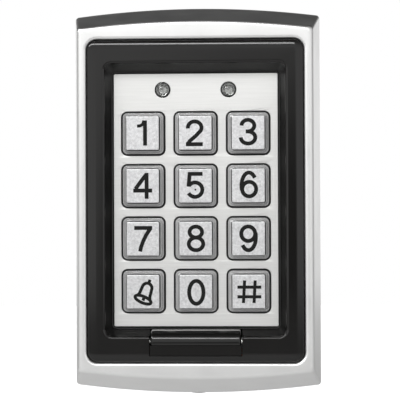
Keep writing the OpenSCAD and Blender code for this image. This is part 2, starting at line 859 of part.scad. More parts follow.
front_housing();
bezel_frame();
keypad_plate();
plate_carrier();
hinge_barrel();
hinge_pin();
status_light(-1);  // status_light_left
status_light(1);  // status_light_right
key_mat();
key_contacts();
backlight_lamps();
main_board();
antenna_coil();
controller_chip();
reader_chip();
crystal();
lock_relay();
sounder();
filter_capacitor();
voltage_regulator();
cable_header();
tamper_sensor();
back_cover();
wall_gasket();
cable_grommet();
security_screw();
bezel_screws();
carrier_screws();
board_screws();
for (i = [0 : COLS * ROWS - 1]) {
    key_cap(i);
    key_collar(i);
}
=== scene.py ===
"""Finish for a wall-mounted keypad access reader, built around its packed working parts."""
from math import atan2, cos, hypot, pi, radians, sin, sqrt, tan

import bmesh
import bpy
from bpy.props import FloatProperty, FloatVectorProperty, PointerProperty
from mathutils import Matrix, Vector


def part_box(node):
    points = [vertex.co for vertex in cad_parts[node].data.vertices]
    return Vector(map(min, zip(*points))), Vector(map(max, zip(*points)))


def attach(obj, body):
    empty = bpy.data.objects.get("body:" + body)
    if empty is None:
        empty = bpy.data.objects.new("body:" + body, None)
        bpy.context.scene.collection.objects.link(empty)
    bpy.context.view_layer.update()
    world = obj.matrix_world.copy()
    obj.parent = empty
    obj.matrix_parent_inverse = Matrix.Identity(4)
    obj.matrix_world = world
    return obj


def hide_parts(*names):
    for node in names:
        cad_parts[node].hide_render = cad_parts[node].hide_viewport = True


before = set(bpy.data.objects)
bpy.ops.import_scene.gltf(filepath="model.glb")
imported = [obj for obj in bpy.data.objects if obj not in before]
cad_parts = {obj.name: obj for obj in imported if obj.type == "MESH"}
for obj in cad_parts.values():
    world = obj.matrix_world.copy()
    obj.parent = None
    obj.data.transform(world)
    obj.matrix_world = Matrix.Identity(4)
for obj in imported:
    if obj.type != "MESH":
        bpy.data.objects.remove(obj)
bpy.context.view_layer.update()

bl_info = {
    "name": "Keypad Access Reader",
    "version": (1, 0, 0),
    "blender": (4, 5, 0),
    "location": "View3D > Sidebar > Reader",
    "description": "Builds the housing, bezel, keys, lights and hinge barrel of a keypad reader",
    "category": "Add Mesh",
}

MM = 0.001
# An arc of this radius in metres is as good as straight.
FLAT = 1000.0
KEYS = ["1", "2", "3", "4", "5", "6", "7", "8", "9", "bell", "0", "hash"]
BODY = "reader_body"
# Points along half an arched end, around a corner and along half a side of an outline.
ARC_STEPS = 20
CORNER_STEPS = 8
SIDE_STEPS = 12
# Rings down the housing's slope and around a rounded edge, and points around a round part.
SLOPE_STEPS = 24
ROUND_STEPS = 8
TURN_STEPS = 48
# How far a status light's flange reaches past its dome.
LIGHT_RIM = 0.35 * MM
SHARP_ANGLE = radians(35.0)
WELD = 1e-7


def linear(code):
    """Turns an sRGB hex colour into linear red, green, blue and a full alpha."""
    channels = [int(code[k:k + 2], 16) / 255 for k in (1, 3, 5)]
    return tuple(c / 12.92 if c <= 0.04045 else ((c + 0.055) / 1.055) ** 2.4 for c in channels) + (1.0,)


def length(label, text, millimetres):
    """A length property shown in scene units."""
    return FloatProperty(
        name=label, description=text, default=millimetres * MM, min=0.0, unit="LENGTH", precision=5)


def colour(label, text, code):
    """A colour property."""
    return FloatVectorProperty(
        name=label, description=text, default=linear(code), size=4, min=0.0, max=1.0, subtype="COLOR")


class ReaderSizes(bpy.types.PropertyGroup):
    """Sizes of the outer parts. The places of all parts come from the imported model."""
    side_lean: length("Side lean", "How far each side leans in towards the front", 3)
    end_lean: length("End lean", "How far each end leans in towards the front", 7)
    skirt_depth: length("Skirt depth", "Depth of the straight band nearest the wall", 7)
    end_arc: length("End arc", "Radius of the arched top and bottom", 290)
    housing_wall: length("Housing wall", "Thickness of the metal walls", 2)
    front_wall: length("Front wall", "Thickness of the metal front", 2.2)
    knee_round: length("Knee rounding", "Radius where the slopes run into the straight band", 30)
    front_round: length("Front rounding", "Radius around the front face", 1.5)
    window_round: length("Window rounding", "Radius around the bezel's window", 1)
    corner_round: length("Corner rounding", "Radius of the four upright edges", 1.1)
    rim_side: length("Side rim", "Metal showing beside the bezel", 2.9)
    rim_top: length("Top rim", "Metal showing above the bezel", 5.6)
    rim_bottom: length("Bottom rim", "Metal showing below the bezel", 4.9)
    window_gap: length("Window gap", "Gap between the bezel and the metal", 0.15)
    bezel_wall: length("Bezel wall", "Wall thickness of the bezel moulding", 1.8)
    bezel_corner: length("Bezel corner", "Corner radius of the bezel", 3)
    bezel_proud: length("Bezel proud", "How far the bezel stands out of the metal", 0.2)
    crown_width: length("Crown width", "Width of the soft fall-off at the bezel's outer edge", 2.8)
    crown_depth: length("Crown depth", "Depth of the soft fall-off at the bezel's outer edge", 1.0)
    mouth_round: length("Mouth rounding", "Radius around the mouth of the recess", 0.9)
    border_side: length("Side border", "Black border at each side of the recess", 5.4)
    border_top: length("Top border", "Black border above the recess", 7.1)
    border_bottom: length("Bottom border", "Black border below the recess", 7.7)
    recess_corner: length("Recess corner", "Corner radius at the mouth of the recess", 2)
    floor_gap: length("Floor gap", "Gap around the keypad plate", 0.3)
    lip_width: length("Lip width", "Width of the ledge at the foot of the recess walls", 0.3)
    plate_edge: length("Plate edge", "Rounding of the plate's cut edges", 0.12)
    key_hole_corner: length("Key hole corner", "Corner radius of the key holes", 1.9)
    collar_lip: length("Collar lip", "How far a collar's lip reaches past its hole", 0.6)
    collar_gap: length("Collar gap", "Gap between a collar and its hole", 0.3)
    collar_step: length("Collar step", "How far the outer step of a collar stands out of the plate", 0.6)
    cap_corner: length("Cap corner", "Corner radius of a key cap", 0.5)
    cap_edge: length("Cap edge", "Rounding of a key cap's front edge", 0.32)
    stroke: length("Legend stroke", "Width of the strokes of the key legends", 1.17)
    sill_gap: length("Sill gap", "Gap around the sill below the hinge barrel", 0.2)
    notch_round: length("Notch rounding", "Rounding of the edges around the hinge barrel", 0.35)
    barrel_gap: length("Barrel gap", "Gap around the hinge barrel", 0.3)
    barrel_round: length("Barrel rounding", "Rounding of the hinge barrel's ends", 0.7)


class ReaderColours(bpy.types.PropertyGroup):
    """Colours of the finishes."""
    housing: colour("Housing", "Satin chrome of the housing", "#F0F0EF")
    plate: colour("Plate", "Brushed steel of the keypad plate", "#F4F4F2")
    cap: colour("Key caps", "Satin chrome of the key caps", "#F7F7F8")
    bezel: colour("Bezel", "Black moulding around the recess", "#0C0B0A")
    barrel: colour("Hinge barrel", "Black moulding of the hinge barrel", "#0E0E0D")
    legend: colour("Legends", "Enamel in the key legends", "#111110")
    collar: colour("Collars", "Clear rings around the keys", "#E0E0E0")
    floor: colour("Floor", "Studio floor", "#FFFFFF")


# ---- material nodes ----

def node(tree, kind, inputs=None, **settings):
    """Adds a shader node, sets its settings, and gives each input a value or another node's output."""
    new = tree.nodes.new(kind)
    for key, value in settings.items():
        setattr(new, key, value)
    for key, value in (inputs or {}).items():
        if isinstance(value, bpy.types.NodeSocket):
            tree.links.new(value, new.inputs[key])
        else:
            new.inputs[key].default_value = value
    return new


def ramp(tree, factor, stops):
    """A colour ramp in greys, from (position, grey) pairs."""
    new = node(tree, "ShaderNodeValToRGB", {"Fac": factor})
    elements = new.color_ramp.elements
    while len(elements) < len(stops):
        elements.new(0.5)
    for element, (position, grey) in zip(elements, stops):
        element.position = position
        element.color = (grey, grey, grey, 1.0)
    return new.outputs["Color"]


def grain(tree, size_mm, detail=2.0, roughness=0.5):
    """Noise from 0 to 1 whose blotches measure size_mm, as one number or along X, Y and Z."""
    sizes = size_mm if isinstance(size_mm, tuple) else (size_mm,) * 3
    place = node(tree, "ShaderNodeTexCoord").outputs["Object"]
    scale = tuple(1.0 / (s * MM) for s in sizes)
    scaled = node(tree, "ShaderNodeVectorMath", {0: place, 1: scale}, operation="MULTIPLY").outputs[0]
    settings = {"Vector": scaled, "Scale": 1.0, "Detail": detail, "Roughness": roughness}
    return node(tree, "ShaderNodeTexNoise", settings).outputs["Fac"]


def spread(tree, factor, low, high):
    """Maps a 0 to 1 value onto a range, using the middle half where noise spends its time."""
    settings = {"Value": factor, "From Min": 0.25, "From Max": 0.75, "To Min": low, "To Max": high}
    return node(tree, "ShaderNodeMapRange", settings).outputs["Result"]


def bump(tree, height, depth_mm, strength):
    """A bump of depth_mm at most."""
    settings = {"Height": height, "Distance": depth_mm * MM, "Strength": strength}
    return node(tree, "ShaderNodeBump", settings).outputs["Normal"]


def tint(tree, factor, dark, light):
    """A colour between two, by a 0 to 1 value."""
    mix = node(tree, "ShaderNodeMix", data_type="RGBA")
    mix.inputs[6].default_value = dark
    mix.inputs[7].default_value = light
    tree.links.new(factor, mix.inputs[0])
    return mix.outputs[2]


def shade(colour_value, factor):
    """The same colour, lighter or darker."""
    return tuple(min(c * factor, 1.0) for c in colour_value[:3]) + (1.0,)


def material(name, values):
    """A new material and its tree, its one shader set from values, with a function that links the rest."""
    made = bpy.data.materials.new(name)
    made.use_nodes = True
    tree = made.node_tree
    tree.nodes.clear()
    shader = node(tree, "ShaderNodeBsdfPrincipled", values)
    node(tree, "ShaderNodeOutputMaterial", {"Surface": shader.outputs["BSDF"]})

    def skin(colours, rough=None, relief=None, others=None):
        """Takes colours and rough as (marks, low end, high end), relief as (marks, depth in mm, strength)."""
        marks, dark, light = colours
        sockets = {"Base Color": tint(tree, spread(tree, marks, 0.0, 1.0), dark, light), **(others or {})}
        if rough:
            sockets["Roughness"] = spread(tree, *rough)
        if relief:
            sockets["Normal"] = bump(tree, *relief)
        for key, socket in sockets.items():
            tree.links.new(socket, shader.inputs[key])

    return made, tree, skin


def once(build):
    """Keeps one copy of each material, however many pieces wear it."""
    def kept(*args):
        key = build.__name__ + "".join(str(a) for a in args if isinstance(a, str))
        if key not in kept.made:
            kept.made[key] = build(*args)
        return kept.made[key]
    kept.made = {}
    return kept


# ---- finishes ----

@once
def satin_chromed_zinc(base):
    """Die-cast zinc, blasted and chromed: a bright even sheen with no mirror image, faintly mottled."""
    made, tree, skin = material("satin_chromed_zinc", {"Metallic": 1.0})
    mottle = grain(tree, 9, detail=3.0)
    blast = grain(tree, 0.35, detail=1.0)
    skin((mottle, shade(base, 0.97), base), (mottle, 0.36, 0.42), (blast, 0.012, 0.35))
    return made


@once
def brushed_stainless_steel(base):
    """Sheet brushed along its width: long fine scratches that stretch reflections up and down."""
    made, tree, skin = material("brushed_stainless_steel", {"Metallic": 1.0, "Anisotropic": 0.2})
    # Scratches of a fine belt are about 0.05 mm apart; they are drawn 0.3 mm apart so that they show.
    scratch = grain(tree, (14, 2, 0.3), detail=3.0)
    cloud = grain(tree, (18, 18, 10))
    skin((scratch, shade(base, 0.94), base), (cloud, 0.38, 0.44), (scratch, 0.006, 0.4))
    return made


@once
def satin_chromed_cap(base):
    """Zinc key caps, bead-blasted and chromed: flat and bright, with a fine frosted speckle."""
    made, tree, skin = material("satin_chromed_cap", {"Metallic": 1.0})
    # Bead marks are about 0.1 mm wide; they are drawn 0.6 mm wide so that they show.
    speck = grain(tree, 0.6, detail=3.0, roughness=0.7)
    skin((speck, shade(base, 0.62), base), (speck, 0.38, 0.48), (speck, 0.03, 0.6))
    return made


@once
def painted_shade_cap_side():
    """Sides of the zinc caps, darkened as painted shade: they draw a fine dark line around each cap."""
    made, tree, skin = material("painted_shade_cap_side", {"Metallic": 1.0})
    painted_shade_noise = grain(tree, 0.8)
    skin((painted_shade_noise, linear("#26262A"), linear("#3A3A3C")), (painted_shade_noise, 0.45, 0.6))
    return made


@once
def moulded_black_abs(base):
    """ABS moulded against a lightly blasted tool: deep black, with soft bright edges."""
    made, tree, skin = material("moulded_black_abs", {"IOR": 1.47})
    texture = grain(tree, 0.4)
    flow = grain(tree, (14, 14, 22))
    skin((flow, base, shade(base, 1.6)), (flow, 0.1, 0.15), (texture, 0.008, 0.25))
    return made


@once
def sparked_black_abs_painted_shade(base):
    """The same ABS, spark-eroded and dull on the recess walls, its colour darkened as painted shade, with a
    painted sheen that rises towards the top.
    """
    made, tree, skin = material("sparked_black_abs_painted_shade", {"IOR": 1.5})
    # Reflection rises with height as a painted sheen on the upper wall.
    place = node(tree, "ShaderNodeTexCoord").outputs["Object"]
    height = node(tree, "ShaderNodeSeparateXYZ", {0: place}).outputs["Z"]
    painted_sheen_range = {"Value": height, "From Min": 30 * MM, "From Max": 38 * MM, "To Min": 0.05, "To Max": 0.4}
    painted_sheen = node(tree, "ShaderNodeMapRange", painted_sheen_range).outputs["Result"]
    texture = grain(tree, 0.3)
    # The walls' colour, 0.4 to 0.8 of the bezel's, is painted shade in the recess.
    skin((texture, shade(base, 0.4), shade(base, 0.8)), (texture, 0.45, 0.6), (texture, 0.02, 0.4),
         {"Specular IOR Level": painted_sheen})
    return made


@once
def moulded_black_nylon(base):
    """Glass-filled nylon from a polished tool: black and glossy, with faint lines along the barrel."""
    made, tree, skin = material("moulded_black_nylon", {"IOR": 1.47})
    lines = grain(tree, (6, 0.4, 0.4))
    skin((lines, base, shade(base, 1.7)), (lines, 0.12, 0.18), (lines, 0.006, 0.3))
    return made


@once
def filled_black_enamel(base):
    """Enamel wiped into engraved figures: black, half gloss, with slight pits."""
    made, tree, skin = material("filled_black_enamel", {"IOR": 1.4, "Specular IOR Level": 0.3})
    pits = grain(tree, 0.45)
    skin((pits, shade(base, 0.6), shade(base, 1.5)), (pits, 0.5, 0.7), (pits, 0.02, 0.5))
    return made


@once
def clear_polycarbonate(base):
    """Clear moulded polycarbonate: a glassy ring whose walls pick up grey and bright streaks."""
    made, tree, skin = material("clear_polycarbonate", {"Transmission Weight": 0.42, "IOR": 1.58})
    flow = grain(tree, 2.5)
    skin((flow, shade(base, 0.85), base), (flow, 0.05, 0.12))
    return made


@once
def clear_epoxy():
    """Water-clear epoxy cast around a lamp: a smooth lens."""
    made, tree, skin = material("clear_epoxy", {"Transmission Weight": 0.95, "IOR": 1.54})
    cloud = grain(tree, 2, detail=1.0)
    skin((cloud, linear("#E4E6E6"), linear("#F2F3F3")), (cloud, 0.02, 0.05))
    return made


@once
def silvered_lead_frame():
    """Silver-plated cup that holds the lamp's die: bright metal with a slight haze."""
    made, tree, skin = material("silvered_lead_frame", {"Metallic": 1.0})
    haze = grain(tree, 0.6)
    skin((haze, linear("#9FA09E"), linear("#C9C9C6")), (haze, 0.2, 0.32))
    return made


@once
def plain_metal(name, dark, light, rough, size_mm):
    """Metal stock with a rolled, plated or turned skin: size_mm is the spacing of its marks."""
    made, tree, skin = material(name, {"Metallic": 1.0})
    marks = grain(tree, size_mm, detail=3.0)
    ends = (marks, rough - 0.05, rough + 0.07)
    skin((marks, linear(dark), linear(light)), ends, (marks, 0.01, 0.3))
    return made


@once
def plain_moulding(name, dark, light, rough, ior, size_mm, depth_mm):
    """Plastic or rubber straight from its mould: size_mm is the grit of the mould's skin."""
    made, tree, skin = material(name, {"IOR": ior})
    grit = grain(tree, size_mm, detail=3.0)
    flow = grain(tree, 8)
    ends = (grit, rough - 0.06, rough + 0.06)
    skin((flow, linear(dark), linear(light)), ends, (grit, depth_mm, 0.4))
    return made


@once
def pale_paper(base):
    """Matt studio paper, lit so brightly that it reads as white, though it bounces light softly."""
    settings = {"Roughness": 0.9, "Emission Color": base, "Specular IOR Level": 0.0}
    made, tree, skin = material("pale_paper", settings)
    fibre = grain(tree, 6)
    seen = node(tree, "ShaderNodeLightPath").outputs["Is Camera Ray"]
    glow = node(tree, "ShaderNodeMapRange", {"Value": seen, "To Min": 0.12, "To Max": 1.0})
    skin((fibre, shade(base, 0.98), base), others={"Emission Strength": glow.outputs["Result"]})
    return made


# ---- mesh building ----

def outline(half_w, half_h, corner, arc=FLAT, centre_z=0.0):
    """Closed outline as (x, z) points, clockwise from the top middle, with arched ends and round corners."""
    cx = half_w - corner
    rise = sqrt((arc - corner) ** 2 - cx ** 2)
    cz = half_h - arc + rise
    turn = atan2(cx, rise)
    quarter = []
    for k in range(ARC_STEPS):
        angle = turn * k / ARC_STEPS
        quarter.append((arc * sin(angle), half_h - arc + arc * cos(angle)))
    for k in range(CORNER_STEPS + 1):
        angle = turn + (pi / 2 - turn) * k / CORNER_STEPS
        quarter.append((cx + corner * sin(angle), cz + corner * cos(angle)))
    for k in range(1, SIDE_STEPS + 1):
        quarter.append((half_w, cz * (1 - k / SIDE_STEPS)))
    right = quarter + [(x, -z) for x, z in reversed(quarter[:-1])]
    left = [(-x, -z) for x, z in quarter[1:]] + [(-x, z) for x, z in reversed(quarter[1:-1])]
    return [(x, z + centre_z) for x, z in right + left]


def at_depth(points, y):
    """Stands a flat outline up at depth y."""
    return [(x, y, z) for x, z in points]


def add(name, data):
    """Puts new data in the scene as an object."""
    made = bpy.data.objects.new(name, data)
    bpy.context.scene.collection.objects.link(made)
    return made


def settle(name, bm):
    """Makes an object of finished faces, their normals pointing out."""
    bmesh.ops.recalc_face_normals(bm, faces=bm.faces)
    mesh = bpy.data.meshes.new(name)
    bm.to_mesh(mesh)
    bm.free()
    return add(name, mesh)


def loft(name, rings, closed=False, second=(), caps=(0, -1)):
    """A mesh through rings of equal length, closed on itself or with the rings in caps filled.

    second lists the bands between rings that wear the second material.
    """
    bm = bmesh.new()
    rows = [[bm.verts.new(p) for p in ring] for ring in rings]
    count = len(rings[0])
    pairs = list(zip(rows, rows[1:]))
    if closed:
        pairs.append((rows[-1], rows[0]))
    for band, (row, following) in enumerate(pairs):
        for k in range(count):
            after = (k + 1) % count
            face = bm.faces.new((row[k], row[after], following[after], following[k]))
            face.material_index = 1 if band in second else 0
    if not closed:
        for cap in caps:
            bm.faces.new(rows[cap])
    bmesh.ops.remove_doubles(bm, verts=bm.verts, dist=WELD)
    return settle(name, bm)


def smooth(made):
    """Smooth shading that keeps sharp edges sharp and flat faces flat."""
    mesh = made.data
    mesh.polygons.foreach_set("use_smooth", [True] * len(mesh.polygons))
    mesh.set_sharp_from_angle(angle=SHARP_ANGLE)
    weighted = made.modifiers.new("Weighted Normal", "WEIGHTED_NORMAL")
    weighted.keep_sharp = True
    return made


def apply_modifiers(made):
    """Turns a piece's modifiers into plain mesh."""
    graph = bpy.context.evaluated_depsgraph_get()
    mesh = bpy.data.meshes.new_from_object(made.evaluated_get(graph))
    made.modifiers.clear()
    made.data = mesh


def cut(made, tool):
    """Cuts a tool's shape out of a piece and throws the tool away."""
    modifier = made.modifiers.new("Cut", "BOOLEAN")
    modifier.operation = "DIFFERENCE"
    modifier.solver = "EXACT"
    modifier.object = tool
    apply_modifiers(made)
    bpy.data.objects.remove(tool)


def soften(made, width):
    """Rounds the square edges of a piece."""
    modifier = made.modifiers.new("Soften", "BEVEL")
    modifier.width = width
    modifier.segments = 3
    modifier.limit_method = "ANGLE"
    modifier.angle_limit = radians(60)
    apply_modifiers(made)


def lathe(name, profile, place, steps=TURN_STEPS, second=()):
    """A round solid from (radius, distance) points, its axis set by place; second as in loft."""
    turns = [2 * pi * k / steps for k in range(steps)]
    rings = [[place @ Vector((radius * cos(t), radius * sin(t), distance)) for t in turns]
             for radius, distance in profile]
    return loft(name, rings, closed=True, second=second)


def arc_points(centre, radii, start, end, steps=24):
    """Points along part of an ellipse, with angles in degrees."""
    turns = [radians(start + (end - start) * k / steps) for k in range(steps + 1)]
    return [(centre[0] + radii[0] * cos(t), centre[1] + radii[1] * sin(t)) for t in turns]


def rounding(radius, steps):
    """Offsets (inwards, forwards) of a quarter-round edge, from its side to its face."""
    turns = [radians(90.0 * k / steps) for k in range(steps + 1)]
    return [(radius * (1 - cos(t)), radius * sin(t)) for t in turns]


def wear(made, *finishes):
    """Gives a piece its materials."""
    for finish in finishes:
        made.data.materials.append(finish)


def dress(finish, *node_names):
    """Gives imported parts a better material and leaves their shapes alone."""
    for name in node_names:
        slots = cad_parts[name].material_slots
        if not slots:
            raise RuntimeError(name + " has no material slot")
        for place in slots:
            place.material = finish


def measure(box):
    """A box's low and high corners, its centre and its half sizes."""
    low, high = box
    centre = [(a + b) / 2 for a, b in zip(low, high)]
    half = [(b - a) / 2 for a, b in zip(low, high)]
    return low, high, centre, half


class Places:
    """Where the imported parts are, with the outlines that follow from the sizes."""

    def __init__(self, s):
        low, high, _, (self.half_w, _, self.half_h) = measure(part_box("front_housing"))
        self.face_y = low[1]
        self.rim_y = high[1]
        face_half_w = self.half_w - s.side_lean
        face_half_h = self.half_h - s.end_lean
        self.bezel_half_w = face_half_w - s.rim_side
        self.bezel_half_h = face_half_h - (s.rim_top + s.rim_bottom) / 2
        self.bezel_z = (s.rim_bottom - s.rim_top) / 2
        self.mouth_half_w = self.bezel_half_w - s.border_side
        self.mouth_half_h = self.bezel_half_h - (s.border_top + s.border_bottom) / 2
        self.recess_z = self.bezel_z + (s.border_bottom - s.border_top) / 2
        self.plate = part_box("keypad_plate")
        low, high, _, (plate_half_w, _, plate_half_h) = measure(self.plate)
        self.floor_half_w = plate_half_w + s.floor_gap
        self.floor_half_h = plate_half_h + s.floor_gap
        self.plate_y = low[1]
        self.plate_back = high[1]
        self.wall_y = 0.0


# ---- housing ----

def slope_inset(lean, y, s, p):
    """How far the skin is drawn in at depth y on a wall that leans in by lean, with both bends rounded."""
    skirt_y = p.wall_y - s.skirt_depth
    run = skirt_y - p.face_y
    angle = atan2(lean, run)
    slope = lean * (skirt_y - y) / run
    knee = s.knee_round * tan(angle / 2)
    if y > skirt_y + knee:
        return 0.0
    if y > skirt_y - knee * cos(angle):
        return s.knee_round - sqrt(s.knee_round ** 2 - (skirt_y + knee - y) ** 2)
    touch_y = p.face_y + s.front_round * (1 - sin(angle))
    if y >= touch_y:
        return slope
    centre = lean * (skirt_y - touch_y) / run + s.front_round * cos(angle)
    return centre - sqrt(max(s.front_round ** 2 - (p.face_y + s.front_round - y) ** 2, 0.0))


def housing_ring(y, s, p, wall=0.0):
    """The housing's outline at depth y, or its inner side when wall is given."""
    side = slope_inset(s.side_lean, y, s, p) + wall
    end = slope_inset(s.end_lean, y, s, p) + wall
    arc = s.end_arc - end
    return at_depth(outline(p.half_w - side, p.half_h - end, s.corner_round, arc), y)


def build_housing(s, c, p):
    """The metal housing: a thin shell with a rounded window for the bezel."""
    edge = 0.3 * MM
    window_size = [size + s.window_gap for size in (p.bezel_half_w, p.bezel_half_h, s.bezel_corner)]

    def window(grow, y):
        return at_depth(outline(*[size + grow for size in window_size], centre_z=p.bezel_z), y)

    rings = [housing_ring(p.rim_y, s, p, edge), housing_ring(p.rim_y - edge, s, p)]
    first, last = p.rim_y - 2 * edge, p.face_y + s.front_round
    for k in range(SLOPE_STEPS + 1):
        rings.append(housing_ring(first + (last - first) * k / SLOPE_STEPS, s, p))
    for k in range(1, ROUND_STEPS + 1):
        turn = pi / 2 * k / ROUND_STEPS
        rings.append(housing_ring(p.face_y + s.front_round * (1 - sin(turn)), s, p))
    for inward, forward in reversed(rounding(s.window_round, ROUND_STEPS)):
        rings.append(window(inward, p.face_y + s.window_round - forward))
    back_y = p.face_y + s.front_wall
    rings.append(window(0, back_y))
    for k in range(ROUND_STEPS + 1):
        rings.append(housing_ring(back_y + (p.rim_y - back_y) * k / ROUND_STEPS, s, p, s.housing_wall))
    made = loft("housing_shell", rings, closed=True)
    cut_screw_hole(made)
    smooth(made)
    wear(made, satin_chromed_zinc(c.housing))
    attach(made, BODY)
    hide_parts("front_housing")


def cut_screw_hole(made):
    """Countersinks the bottom edge around the security screw."""
    low, _, centre, half = measure(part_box("security_screw"))
    gap, reach, cone = 0.1 * MM, 5 * MM, 1.1 * MM
    head = half[0] + gap
    shank = head - 0.95 * MM
    top = low[2]
    profile = [(0, top - reach), (head, top - reach), (head, top), (shank, top + cone), (shank, top + reach),
               (0, top + reach)]
    cut(made, lathe("screw_hole_tool", profile, Matrix.Translation((centre[0], centre[1], 0))))


# ---- bezel ----

def build_bezel(s, c, p):
    """The black bezel: a soft outer edge, a rounded mouth, sloped walls and a ledge around the plate."""
    front = p.face_y - s.bezel_proud
    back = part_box("bezel_frame")[1][1]
    crown_steps, mouth_steps, wall_steps = 14, 8, 6
    least_corner = 0.4 * MM
    # The recess's corners are this much tighter at its floor than at its mouth.
    tighter = 0.45
    # The mouth's rounding stops short of a right angle, where the sloped walls take over.
    mouth_turn = radians(72.0)
    # The ledge ends this far in front of the plate, and its edge falls away as (share of its width, mm down).
    ledge_height = 0.35 * MM
    ledge_fall = ((0.5, 0.02), (0.15, 0.05), (0.0, 0.14))
    sleeve_gap = 0.3 * MM

    def outer(inset, y):
        corner = max(s.bezel_corner - inset, least_corner)
        points = outline(p.bezel_half_w - inset, p.bezel_half_h - inset, corner, centre_z=p.bezel_z)
        return at_depth(points, y)

    def recess(grow, share, y):
        """The recess outline: share runs from 0 at the mouth to 1 at the floor."""
        half_w = p.mouth_half_w + (p.floor_half_w - p.mouth_half_w) * share
        half_h = p.mouth_half_h + (p.floor_half_h - p.mouth_half_h) * share
        corner = s.recess_corner * (1 - tighter * share) + grow
        return at_depth(outline(half_w + grow, half_h + grow, corner, centre_z=p.recess_z), y)

    rings = [outer(0, back), outer(0, (back + front) / 2)]
    for k in range(crown_steps + 1):
        turn = pi / 2 * k / crown_steps
        inset, fall = s.crown_width * (1 - cos(turn)), s.crown_depth * (1 - sin(turn))
        rings.append(outer(inset, front + fall))
    mouth = s.mouth_round
    for k in range(mouth_steps + 1):
        turn = mouth_turn * k / mouth_steps
        grow = mouth * (sin(mouth_turn) - sin(turn))
        rings.append(recess(grow, 0.0, front + mouth * (1 - cos(turn))))
    walls = range(len(rings) - 1, len(rings) - 1 + wall_steps)
    ledge_y = p.plate_y - ledge_height
    start_y = front + mouth * (1 - cos(mouth_turn))
    for k in range(1, wall_steps + 1):
        share = k / wall_steps
        rings.append(recess(s.lip_width * share, share, start_y + (ledge_y - start_y) * share))
    for share, fall in ledge_fall:
        rings.append(recess(s.lip_width * share, 1.0, ledge_y + fall * MM))
    sleeve_y = p.plate_back - sleeve_gap
    rings.append(recess(0.0, 1.0, sleeve_y))
    rings.append(recess(s.bezel_wall, 1.0, sleeve_y))
    rings.append(recess(s.bezel_wall, 0.0, front + s.bezel_wall))
    rings.append(outer(s.bezel_wall, front + s.bezel_wall + s.crown_depth))
    rings.append(outer(s.bezel_wall, back))
    made = loft("bezel_moulding", rings, closed=True, second=walls)
    wear(made, moulded_black_abs(c.bezel), sparked_black_abs_painted_shade(c.bezel))
    cut_barrel_notch(made, s)
    soften(made, s.notch_round)
    smooth(made)
    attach(made, BODY)
    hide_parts("bezel_frame")
    build_sill(s, c, p)


def cut_barrel_notch(made, s):
    """Opens the bottom border for the hinge barrel."""
    _, _, (cx, cy, cz), (half_l, _, radius) = measure(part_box("hinge_barrel"))
    trough = radius + s.barrel_gap
    reach = half_l + s.barrel_gap
    open_front = -10 * MM
    half_round = [pi * k / SLOPE_STEPS for k in range(SLOPE_STEPS + 1)]
    path = [(open_front, -trough), (open_front, trough)]
    path += [(trough * sin(t), trough * cos(t)) for t in half_round]
    rings = [[(cx + side * reach, cy + y, cz + z) for y, z in path] for side in (-1, 1)]
    cut(made, loft("notch_tool", rings))


def build_sill(s, c, p):
    """A fixed sill that closes the notch below and behind the hinge barrel."""
    _, _, (cx, cy, cz), (half_l, _, radius) = measure(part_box("hinge_barrel"))
    trough = radius + s.barrel_gap
    wall_gap, thick = 0.1 * MM, 1.2 * MM
    front = p.face_y - s.bezel_proud
    inner = front + s.bezel_wall + wall_gap
    foot, deep, top = cz - trough - thick, cy + trough + thick, cz + trough / 2
    ledge = cz - trough + s.sill_gap
    path = [(front, ledge), (inner, ledge), (inner, foot), (deep, foot), (deep, top), (cy, top), (cy, cz),
            (front, cz)]
    reach = half_l + s.barrel_gap - s.sill_gap
    made = loft("hinge_sill", [[(cx + side * reach, y, z) for y, z in path] for side in (-1, 1)])
    bore_steps = 64
    turns = [2 * pi * k / bore_steps for k in range(bore_steps)]
    bore = [(cy + trough * cos(t), cz + trough * sin(t)) for t in turns]
    cut(made, loft("bore_tool", [[(cx + side * 2 * reach, y, z) for y, z in bore] for side in (-1, 1)]))
    soften(made, s.notch_round)
    smooth(made)
    wear(made, moulded_black_abs(c.bezel))
    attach(made, BODY)


# ---- keypad plate ----

def build_plate(s, c, p):
    """The brushed sheet, cut with a hole for each key and each status light, all edges slightly rounded."""
    sheet_corner, light_gap = 0.5 * MM, 0.15 * MM
    _, _, middle, half = measure(p.plate)
    curve = bpy.data.curves.new("plate_outline", "CURVE")
    curve.dimensions = "2D"
    curve.fill_mode = "BOTH"
    shapes = [(outline(half[0], half[2], sheet_corner), middle)]
    for key in KEYS:
        _, _, centre, collar = measure(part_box("key_" + key + "_collar"))
        hole = outline(collar[0] - s.collar_lip, collar[2] - s.collar_lip, s.key_hole_corner)
        shapes.append((hole, centre))
    for side in ("left", "right"):
        _, _, centre, light = measure(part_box("status_light_" + side))
        radius = light[0] - LIGHT_RIM + light_gap
        last = TURN_STEPS - 1
        shapes.append((arc_points((0, 0), (radius, radius), 0, 360 * last / TURN_STEPS, last), centre))
    for points, (x, _, z) in shapes:
        spline = curve.splines.new("POLY")
        spline.points.add(len(points) - 1)
        spline.use_cyclic_u = True
        for target, (px, pz) in zip(spline.points, points):
            target.co = (x + px, z + pz, 0, 1)
    curve.extrude = half[1] - s.plate_edge
    curve.bevel_depth = s.plate_edge
    curve.bevel_resolution = 2
    curve.offset = -s.plate_edge
    draft = add("plate_draft", curve)
    mesh = bpy.data.meshes.new_from_object(draft.evaluated_get(bpy.context.evaluated_depsgraph_get()))
    bpy.data.objects.remove(draft)
    mesh.transform(Matrix.Translation((0, middle[1], 0)) @ Matrix.Rotation(pi / 2, 4, "X"))
    bm = bmesh.new()
    bm.from_mesh(mesh)
    bmesh.ops.remove_doubles(bm, verts=bm.verts, dist=10 * WELD)
    made = smooth(settle("keypad_sheet", bm))
    wear(made, brushed_stainless_steel(c.plate))
    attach(made, BODY)
    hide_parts("keypad_plate")


# ---- keys ----

def key_ring(centre, half_w, half_h, corner, y):
    """A round-cornered outline around a key's centre."""
    return [(centre[0] + x, y, centre[2] + z) for x, z in outline(half_w, half_h, corner)]


